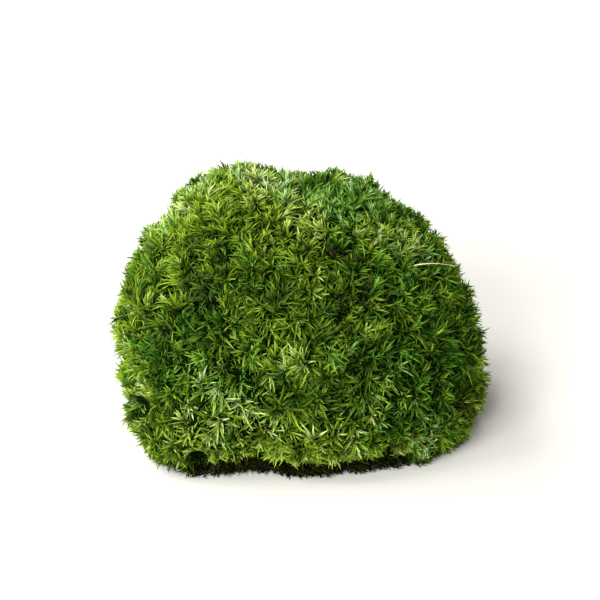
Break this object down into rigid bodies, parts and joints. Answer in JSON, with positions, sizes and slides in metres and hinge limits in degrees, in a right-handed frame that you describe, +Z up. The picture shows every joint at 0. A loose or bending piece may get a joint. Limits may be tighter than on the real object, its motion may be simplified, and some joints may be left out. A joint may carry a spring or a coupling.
{
  "type": "moss clump",
  "caption": "Low domed clump of dense cushion moss with a crease across its crown, lifted with the flat pad of humus it grew on.",
  "frame": {"origin": "centre of the clump's outline on the ground, at the level of the humus pad's flat underside", "axes": "+Z up, +X to the right as seen from the front, -Y towards the front"},
  "size_m": [0.0941, 0.0882, 0.0621],
  "materials": {
    "moss": "matt, dense upright leafy shoots",
    "humus": "matt, fibrous and crumbly",
    "straw": "dry, slightly glossy"
  },
  "bodies": {
    "root": {"moss_cushion": "moss", "humus_pad": "humus", "grass_straw": "straw"}
  },
  "joints": []
}
